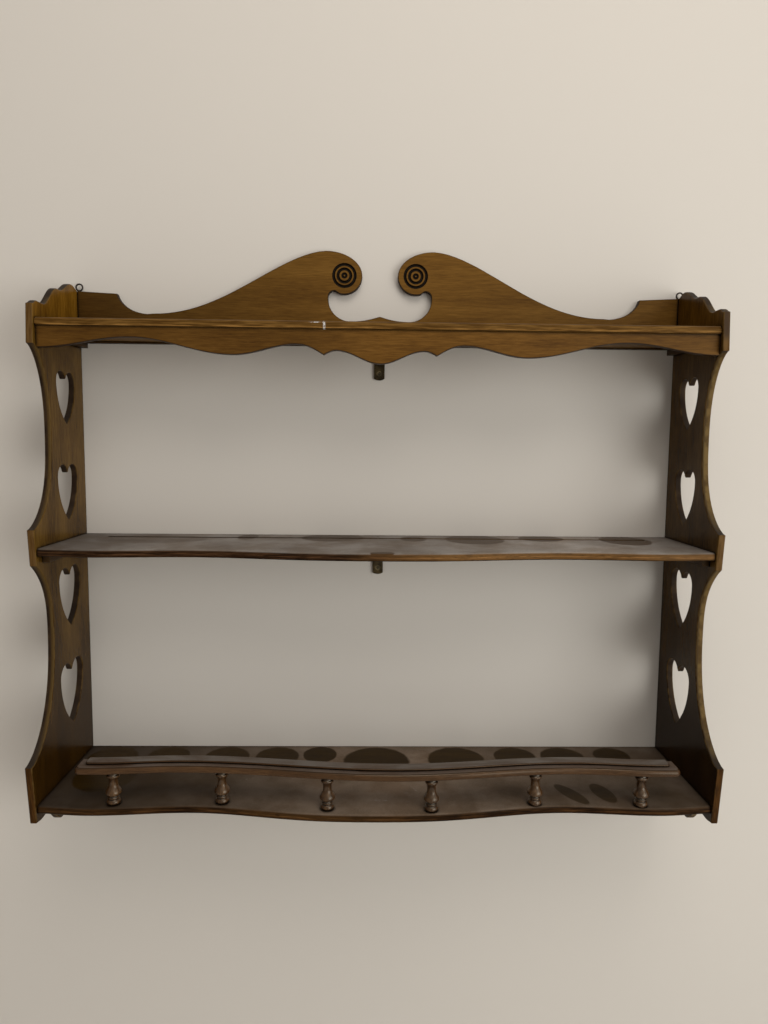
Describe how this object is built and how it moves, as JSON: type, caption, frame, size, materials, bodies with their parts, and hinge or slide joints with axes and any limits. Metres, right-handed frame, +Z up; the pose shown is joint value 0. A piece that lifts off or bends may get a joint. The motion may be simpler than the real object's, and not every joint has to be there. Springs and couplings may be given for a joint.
{
  "type": "wall plate rack",
  "caption": "Wall plate rack: scalloped sides with heart cut-outs, serpentine shelves, spindle gallery, shaped apron and scrolled pediment board.",
  "frame": {"origin": "on the wall plane at the back of the pediment board, in the middle of the width, level with the top face of the top shelf", "axes": "+X to the viewer's right, +Y into the wall, +Z up; the front of the rack faces -Y"},
  "size_m": [0.914, 0.2405, 0.835],
  "materials": {
    "side_wood": "stained, satin varnish",
    "shelf_wood": "stained, satin varnish, dusty on top",
    "front_wood": "stained, satin varnish",
    "gallery_wood": "stained, satin varnish",
    "aged_brass": "tarnished",
    "dark_steel": "dull, dark"
  },
  "bodies": {
    "root": {"left_side_panel": "side_wood", "right_side_panel": "side_wood", "top_shelf": "shelf_wood", "middle_shelf": "shelf_wood", "bottom_shelf": "shelf_wood", "pediment_board": "front_wood", "apron": "front_wood", "gallery_rail": "gallery_wood", "gallery_spindle_1": "gallery_wood", "gallery_spindle_2": "gallery_wood", "gallery_spindle_3": "gallery_wood", "gallery_spindle_4": "gallery_wood", "gallery_spindle_5": "gallery_wood", "gallery_spindle_6": "gallery_wood", "left_top_cleat": "shelf_wood", "right_top_cleat": "shelf_wood", "left_middle_cleat": "shelf_wood", "right_middle_cleat": "shelf_wood", "upper_wall_bracket": "aged_brass", "middle_wall_bracket": "aged_brass", "upper_shelf_screws": "aged_brass", "middle_shelf_screws": "aged_brass", "upper_wall_screws": "aged_brass", "middle_wall_screws": "aged_brass", "left_screw_eye": "dark_steel", "right_screw_eye": "dark_steel", "left_side_brads": "dark_steel", "right_side_brads": "dark_steel", "pediment_brads": "dark_steel", "apron_brads": "dark_steel"}
  },
  "joints": []
}
